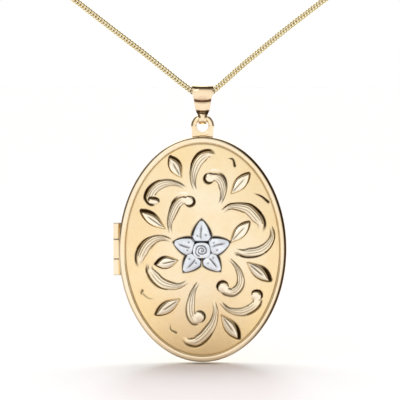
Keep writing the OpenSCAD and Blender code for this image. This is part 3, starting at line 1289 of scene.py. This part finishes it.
        # Painted shade: a dark crescent, thickest on the side that dark_way points to.
        turn = math.radians(bulb.dark_way)
        facing = (off[:, 0] * math.cos(turn) + off[:, 1] * math.sin(turn)) / np.maximum(out, 0.01)
        thick = 0.07 + 0.12 * np.clip(facing, 0.0, 1.0)
        ring = stroke(out - bulb.radius - 0.6 * thick, thick) * smooth(facing, -0.45, 0.4)
        self.sink(here, ring, self.cut_depth)

    def stamp_leaf(self, leaf: Leaf) -> None:
        """Raises one leaf with a centre groove and a groove round its outline, painted with shade
        that is thicker on the shaded side.

        Args:
            leaf: the leaf.
        """
        base, tip = np.array(leaf.base), np.array(leaf.tip)
        here = self.near(np.array([base, tip]), leaf.half + self.margin)
        reach = np.linalg.norm(tip - base)
        ahead = (tip - base) / reach
        off = np.stack([self.x[here], self.z[here]], 1) - base
        way = (off @ ahead) / reach
        beside = off[:, 1] * ahead[0] - off[:, 0] * ahead[1]
        inside = np.clip(way, 0.001, 0.999)
        half = leaf.half * np.sin(math.pi * inside**1.1) ** 0.85 + 0.001
        on = ((way > 0) & (way < 1)).astype(float)
        rise = self.leaf_height * np.clip(1.0 - (beside / half) ** 2, 0.0, 1.0) ** 0.6 * on
        cover = smooth(half - np.abs(beside), 0.0, 0.1) * on
        self.cut[here] *= 1.0 - cover
        self.raise_to(here, rise, cover)
        length = smooth(way, *self.vein_root) * (1.0 - smooth(way, *self.vein_tip))
        vein = bell(beside, self.vein_half) * length
        self.sink(here, self.vein_dark * vein, self.groove_depth)
        # Painted shade: the outline is thicker and darker on the side facing shade_way.
        facing = np.sign(beside) * (-ahead[1] * self.shade_way[0] + ahead[0] * self.shade_way[1])
        shaded = smooth(facing, -0.1, 0.8) * smooth(way, 0.1, 0.8)
        thick = 0.06 + (0.14 * shaded + 0.06 * smooth(way, 0.6, 1.0)) * leaf.edge
        past = np.where(way > 1, (way - 1) * reach, np.where(way < 0, -way * reach, 0.0))
        outside = np.hypot(np.abs(beside) - half - 0.5 * thick, past)
        rim = stroke(outside, thick) * (0.3 + 0.7 * smooth(way, 0.1, 0.7))
        self.sink(here, np.minimum(rim * (0.75 + 0.35 * shaded), 1.0), self.cut_depth)

    def cut_nick(self, nick: tuple[Point, Point, Point, float]) -> None:
        """Cuts a short curved nick that widens to its end, painted with shade.

        Args:
            nick: the nick's three points, and how dark it is.
        """
        line = curve_through(nick[:3], 40)
        here = self.near(line, self.margin)
        way, distance, _ = self.measure(line, here)
        mark = stroke(distance, 0.06 + 0.12 * way) * smooth(way, -0.1, 0.4)
        self.sink(here, nick[3] * mark, self.groove_depth)


@dataclass
class Flower:
    """Applied white gold flower: five pointed petals and a small rose."""

    shape: CaseShape
    body: str = "cover"
    at_x: float = -0.15
    petal_ways: tuple[float, ...] = (90.0, 164.0, 230.5, 311.5, 376.0)
    petal_shares: tuple[float, ...] = (1.02, 0.975, 0.95, 0.94, 0.98)
    petal_long: float = 4.65
    petal_half: float = 1.5
    petal_thick: float = 0.28
    petal_crown: float = 0.16
    petal_start: float = 0.12
    petal_under: float = 0.05
    crease_half: float = 0.11
    pit_places: tuple[Point, ...] = ((0.47, 0.62), (0.5, -0.66))
    pit_half: float = 0.13
    rose_radius: float = 1.36
    rose_wide: float = 1.1
    rose_start: float = 0.3
    rose_high: float = 0.4
    rose_foot: float = 0.4
    rose_square: float = 2.8
    coil_start: float = 0.12
    coil_pitch: float = 0.27

    def build(self) -> None:
        """Makes the petals and the rose."""
        dress(self.petals(), self.body, Finishes.WHITE, "flower_petals")
        dress(self.rose(), self.body, Finishes.WHITE, "flower_centre")

    def half_width(self, way: Array) -> Array:
        """Half of a petal's width at a share of its length."""
        plain = self.petal_half * np.sin(math.pi * np.clip(way, 0.0, 1.0) ** 0.8) ** 0.75
        return np.minimum(plain, way * self.petal_long * math.tan(math.radians(35.5)))

    def shade_round(self, relief: Relief) -> None:
        """Cuts a thin groove into the cover's sheet round the flower, with a painted shadow along
        it.

        Args:
            relief: the cover's relief.
        """
        here = relief.near(np.array([[self.at_x, 0.0]]), self.petal_long + 0.5)
        off_x, off_z = relief.x[here] - self.at_x, relief.z[here]
        mask = np.zeros(len(here))
        for degrees, share in zip(self.petal_ways, self.petal_shares):
            turn = math.radians(degrees)
            along = (off_x * math.cos(turn) + off_z * math.sin(turn)) / share
            beside = np.abs(off_z * math.cos(turn) - off_x * math.sin(turn)) / share
            half = self.half_width(np.clip(along / self.petal_long, 0.0, 1.0))
            past = np.maximum(along - self.petal_long, 0.0)
            line = bell(np.hypot(np.maximum(beside - half, 0.0), past), 0.2)
            mask = np.maximum(mask, line * (along > 0.6))
        relief.sink(here, 0.95 * mask, 0.05)

    def petals(self) -> bpy.types.Object:
        """Five petals, each a curved sheet with rolled edges, a crease and small pits.

        Returns:
            The petals, as one object.
        """
        rows, columns = 56, 33
        way, across = np.meshgrid(np.linspace(self.petal_start, 1.0, rows),
                                  np.linspace(-1, 1, columns), indexing="ij")
        way, across = way.ravel(), across.ravel()
        half = self.half_width(way)
        along, beside = way * self.petal_long, across * half
        crown = (1.0 - np.abs(across) ** 2.5) * np.sin(math.pi * way**0.9) ** 0.5
        crown = crown * self.petal_crown
        middle = 0.1 * np.sin(4.2 * (way - 0.2))
        crease = bell((across - middle) * half, self.crease_half) * smooth(way, 0.34, 0.46)
        crease = crease * (1.0 - smooth(way, 0.68, 0.9))
        pits = sum(bell(np.hypot(along - self.petal_long * at, beside - shift), self.pit_half)
                   for at, shift in self.pit_places)
        lobe = bell(np.hypot((along - 0.5 * self.petal_long) / 1.6, beside / 1.1), 0.75)
        rim = smooth(np.abs(across), 0.8, 1.0)
        tall = (self.petal_thick + crown - 0.13 * crease - 0.1 * pits - 0.03 * lobe)
        # Painted shade in the crease, the pits, round the rose, along the edges and at the tip.
        cut = np.maximum(0.65 * crease, 0.8 * np.minimum(pits, 1.0))
        cut = np.maximum(cut, 1.0 - smooth(along - self.rose_radius, 0.0, 0.16))
        edge_line = smooth(np.abs(across), 0.84, 0.96) * smooth(way, 0.35, 0.5)
        cut = np.maximum(cut, np.maximum(edge_line, smooth(way, 0.93, 0.98)))
        points, faces, marks, shines = [], [], [], []
        grid = np.arange(rows * columns).reshape(rows, columns)
        for degrees, share in zip(self.petal_ways, self.petal_shares):
            turn = math.radians(degrees)
            x = self.at_x + share * (along * math.cos(turn) - beside * math.sin(turn))
            z = share * (along * math.sin(turn) + beside * math.cos(turn))
            ground = self.shape.dome(x, z)
            start = len(points) * rows * columns
            for tops in (True, False):
                depth = ground + (np.maximum(tall - 0.1 * rim, 0.04) if tops
                                  else -self.petal_under)
                points.append(self.shape.place(x, depth, z, 1.0))
                # The top gets its painted shade, the underside is painted dark, and both get a
                # painted highlight where not shaded.
                marks.append(cut if tops else np.full(len(cut), 0.9))
                shines.append((1.0 - cut) * 0.6)
            top = grid + start
            quads = np.stack([top[:-1, :-1], top[1:, :-1], top[1:, 1:], top[:-1, 1:]], -1)
            faces.append(quads.reshape(-1, 4))
            faces.append((quads.reshape(-1, 4) + rows * columns)[:, ::-1])
            edge = np.concatenate([grid[0, :-1], grid[:-1, -1], grid[-1, :0:-1], grid[:0:-1, 0]])
            after = np.roll(edge, -1)
            low = rows * columns
            faces.append(np.stack([edge + start, after + start, after + start + low,
                                   edge + start + low], 1))
        return Workshop.solid("flower_petal_sheet", np.vstack(points), np.vstack(faces),
                              sharp=60.0, cut=np.concatenate(marks),
                              shine=np.concatenate(shines))

    def rose(self) -> bpy.types.Object:
        """Small rose: a button with a coiled line in it, and a rounded square outline.

        Returns:
            The rose.
        """
        rings, turns = 46, 96
        share = np.linspace(0.02, 1.0, rings)
        angle = np.linspace(0.0, 2 * math.pi, turns, endpoint=False)
        out, turn = (a.ravel() for a in np.meshgrid(share, angle, indexing="ij"))
        power = self.rose_square
        square = (np.abs(np.cos(turn)) ** power + np.abs(np.sin(turn)) ** power) ** (-1 / power)
        radius = self.rose_radius * out * (1.0 + (square - 1.0) * out)
        x = self.at_x + self.rose_wide * radius * np.cos(turn)
        z = radius * np.sin(turn)
        wound = (turn / (2 * math.pi) + self.rose_start) % 1.0
        coil = self.coil_start + self.coil_pitch * wound
        lines = np.maximum(bell(out - coil, 0.05), bell(out - coil - self.coil_pitch, 0.055))
        lines = np.maximum(lines, bell(out, 0.06))
        skirt = smooth(out, 0.86, 1.0)
        tall = self.rose_high * (1.0 - 0.25 * out**2) * (1.0 - skirt) - 0.12 * lines
        apex = self.shape.plate_edge + self.shape.dome_rise + self.petal_thick
        depth = apex + 0.05 + tall - 0.15 * skirt
        # Painted shade in the coiled line and round the outline, a painted highlight elsewhere,
        # and a painted dark foot.
        cut = np.maximum(0.6 * lines, smooth(out, 0.87, 0.95))
        points = self.shape.place(x, depth, z, 1.0)
        low = np.full(turns, apex - self.rose_foot)
        floor = self.shape.place(x[-turns:], low, z[-turns:], 1.0)
        faces = Workshop.capped_faces(rings + 1, turns, True)
        return Workshop.solid("flower_rose", np.vstack([points, floor]), faces, sharp=70.0,
                              cut=np.concatenate([cut, np.full(turns, 0.9)]),
                              shine=np.concatenate([0.6 * (1 - cut), np.zeros(turns)]))


@dataclass
class CaseHalf:
    """One half of the case: plate, border and wall, picture frame, window and card."""

    shape: CaseShape
    title: str
    body: str
    side: float
    rings: int = 40
    turns: int = 240
    insert_turns: int = 180
    # Painted reflection: the face's tint deepens toward the bottom and toward the edge.
    low_blush: float = 0.3
    edge_blush: float = 0.35
    flower: Flower | None = None

    def build(self) -> None:
        """Makes every piece of this half."""
        dress(self.plate(), self.body, Finishes.SATIN, f"{self.title}_plate")
        dress(self.rim(), self.body, Finishes.BORDER, f"{self.title}_rim")
        dress(self.picture_frame(), self.body, Finishes.POLISHED, f"{self.title}_frame")
        window = self.insert("clear_sheet", 0.7, 0.8)
        dress(window, self.body, Finishes.WINDOW, f"{self.title}_window")
        # The card is lit through the clear sheet.
        window.visible_shadow = window.visible_diffuse = False
        card = self.insert("blank_card", 0.86, 0.94)
        dress(card, self.body, Finishes.CARD, f"{self.title}_photo")

    def plate(self) -> bpy.types.Object:
        """Domed sheet, stamped and engraved on the cover and plain on the back.

        Returns:
            The sheet.
        """
        s = self.shape
        angle = np.linspace(0.0, 2 * math.pi, self.turns, endpoint=False)
        share = np.linspace(0.0, 1.0, self.rings + 1)[1:]
        out, turn = (a.ravel() for a in np.meshgrid(share, angle, indexing="ij"))
        x, z = (out * v for v in s.oval(s.plate_in, turn))
        relief = Relief(x, z)
        if self.flower:
            relief.work()
            self.flower.shade_round(relief)
        inward = (1.0 - out) * (s.width / 2 - s.plate_in)
        relief.height *= smooth(inward, 0.0, 0.4)
        # A groove at the plate's edge, painted with shade.
        lip = stroke(inward, 0.13)
        depth = s.dome(x, z) + relief.height - 0.08 * lip
        cut = np.maximum(relief.cut, 0.55 * lip)
        points = [s.place(x, depth, z, self.side)]
        under = [(s.plate_in, s.border_under), (s.wall, s.border_under),
                 (s.wall, s.plate_under), (1.5, s.plate_under), (1.6, s.plate_edge - s.sheet)]
        for inset, level in under:
            ring_x, ring_z = s.oval(inset, angle)
            points.append(s.place(ring_x, np.full(self.turns, level), ring_z, self.side))
        inner_parts = (0.8, 0.55, 0.3, 0.08)
        for part in inner_parts:
            ring_x, ring_z = (part * v for v in s.oval(1.6, angle))
            points.append(s.place(ring_x, s.dome(ring_x, ring_z) - s.sheet, ring_z, self.side))
        more_rows = len(under) + len(inner_parts)
        # Painted reflection: a deeper tint toward the bottom and the edge of the face.
        blush = self.low_blush * smooth(-z / s.height * 2, -0.2, 0.9)
        blush = blush + self.edge_blush * smooth(out, 0.45, 1.0)
        plain = np.zeros(more_rows * self.turns)
        cut, blush, shine = (np.concatenate([v, plain]) for v in (cut, blush, relief.shine))
        faces = Workshop.capped_faces(self.rings + more_rows, self.turns, self.side > 0)
        return Workshop.solid(f"{self.title}_domed_sheet", np.vstack(points), faces, sharp=60.0,
                              cut=cut, blush=blush, shine=shine)

    def rim(self) -> bpy.types.Object:
        """Side wall with the polished border turned in round the face.

        Returns:
            The wall and border, as one ring.
        """
        s = self.shape
        corner, lip = 0.42, 0.2
        outline = [(0.05, s.gap), (0.0, s.gap + 0.05)]
        outline += [(0.0, s.gap + 0.05 + 0.16 * k) for k in range(1, 8)]
        outline += arc((corner, s.half_depth - corner), corner, 180, 90, 12)
        # Painted shade: a dark line round the border's rounded corner, faint on the back half.
        lines = {12: 0.3, 13: 0.8, 14: 1.0, 15: 1.0, 16: 1.0, 17: 0.9, 18: 0.35}
        if self.side < 0:
            lines = {15: 0.3}
        outline += [(0.55, s.half_depth + 0.005)]
        outline += arc((s.border - lip, s.half_depth - lip), lip, 90, 0, 5)
        outline += [(s.border, s.border_under), (s.wall, s.border_under), (s.wall, 0.8),
                    (s.wall, s.gap + 0.04), (s.wall - 0.04, s.gap)]
        return s.sweep(f"{self.title}_border", outline, self.side, lines=lines)

    def insert(self, name: str, inner: float, outer: float) -> bpy.types.Object:
        """Flat oval sheet that lies under the picture frame.

        Args:
            name: the end of the object's name.
            inner: depth of the face that looks into the case.
            outer: depth of the face that lies toward the plate.

        Returns:
            The sheet.
        """
        s, soft = self.shape, 0.02
        angle = np.linspace(0.0, 2 * math.pi, self.insert_turns, endpoint=False)
        half = [(part, 1.2) for part in (0.04, 0.35, 0.7, 1.0)]
        rows = [(part, inset, outer) for part, inset in half]
        rows += [(1.0, 1.17, outer - soft), (1.0, 1.17, inner + soft)]
        rows += [(part, inset, inner) for part, inset in reversed(half)]
        points = []
        for part, inset, level in rows:
            x, z = (part * v for v in s.oval(inset, angle))
            points.append(s.place(x, np.full(len(angle), level), z, self.side))
        faces = Workshop.capped_faces(len(rows), len(angle), self.side > 0)
        return Workshop.solid(f"{self.title}_{name}", np.vstack(points), faces)

    def picture_frame(self) -> bpy.types.Object:
        """Picture frame with a rounded face and a fine bead inside.

        Returns:
            The frame.
        """
        face, back = 0.52, 0.95
        outline = [(0.9, back), (0.9, face + 0.08)] + arc((0.98, face + 0.08), 0.08, 180, 270, 3)
        outline += [(1.5, face), (1.9, face + 0.01), (1.95, face + 0.05)]
        outline += arc((2.08, face + 0.07), 0.1, 200, 350, 6)
        outline += [(2.2, face + 0.13), (2.2, 0.7), (1.15, 0.7), (1.15, back)]
        return self.shape.sweep(f"{self.title}_picture_frame", outline, self.side)


@dataclass
class Hinge:
    """Three knuckles on a pin at the left of the case."""

    line: float = 0.07

    def build(self) -> None:
        """Makes the knuckles and dresses the pin."""
        for place, body in (("top", "case"), ("middle", "cover"), ("bottom", "case")):
            made = Workshop.soften(f"hinge_knuckle_{place}", f"knuckle_{place}", grain=0.03,
                                   passes=4, bend=self.ends)
            dress(made, body, Finishes.BORDER)
        dress_node("hinge_pin", Finishes.POLISHED)

    def ends(self, points: Array) -> tuple[Array, Array]:
        """Paints a thin line of shade at both ends of a knuckle.

        Args:
            points: the knuckle's points.

        Returns:
            The same points, and how dark each one is.
        """
        z = points[:, 2]
        from_end = np.minimum(z - z.min(), z.max() - z)
        return points, 0.8 * stroke(from_end, self.line)


@dataclass
class HangingParts:
    """The ring on top of the case and the folded bail."""

    tunnel_z: float = 0.45
    pinch_z: float = -0.85
    line_z: float = -0.76
    smile: float = 0.22
    crown: float = 0.17
    pinch_half: float = 0.75
    crease_half: float = 0.21
    crease_bow: float = 0.13

    def build(self) -> None:
        """Makes the hang ring and the bail."""
        ring = Workshop.soften("hang_ring", "hang_ring_cast", grain=0.04, passes=6)
        dress(ring, "case", Finishes.POLISHED)
        strap = Workshop.soften("bail", "folded_bail", grain=0.04, passes=6, bend=self.fold)
        dress(strap, "bail", Finishes.BAIL)

    def half_width(self, z: Array) -> Array:
        """Half of the bail's width at a height."""
        return np.interp(z, [-5, -3.5, -3.05, -2.1, -0.9, 0, 0.9],
                         [0.6, 0.6, 0.72, 1.15, 1.3, 1.5, 1.65])

    def fold(self, points: Array) -> tuple[Array, Array]:
        """Crowns the strap across its width and bows the pinch under the chain's tunnel.

        Args:
            points: the bail's points.

        Returns:
            The changed points, and painted shade in the pinch and on the flanks, with a painted
            dark reflection along the crest.
        """
        x, y, z = points.T.copy()
        across = np.clip(np.abs(x) / self.half_width(z), 0.0, 1.0)
        y = y * (1.0 - self.crown * across**2)
        middle = 1.0 - across**2
        z = z - self.smile * bell(z - self.pinch_z, self.pinch_half) * middle
        y = y * (1.0 - 0.2 * bell(z - self.pinch_z + self.smile * middle, 0.2))
        # Painted shade on the flanks and under the barrel, and a painted dark reflection on the
        # crest.
        flank = smooth(across, 0.3, 0.62) * smooth(-z, 2.05, 2.4) * smooth(z, -3.65, -3.3)
        crest = bell(z - (self.tunnel_z + 0.4 + 0.3 * middle), 0.06)
        crest = crest * smooth(np.abs(y), 0.42, 0.5)
        crease = stroke(z - self.line_z + self.crease_bow * middle, self.crease_half)
        cut = np.maximum(0.97 * crease, np.maximum(0.9 * flank, 0.6 * crest))
        return np.stack([x, y, z], 1), cut


# ---------- all together ----------


def main() -> None:
    """Builds every piece in order."""
    logging.basicConfig(level=logging.INFO, format="%(name)s: %(message)s")
    Studio().build()
    CurbChain().build()
    shape = CaseShape()
    flower = Flower(shape)
    CaseHalf(shape, "front", "cover", 1.0, rings=165, turns=900, flower=flower).build()
    CaseHalf(shape, "back", "case", -1.0).build()
    flower.build()
    dress_node("snap_rim", Finishes.POLISHED)
    Hinge().build()
    HangingParts().build()


if __name__ == "__main__":
    main()
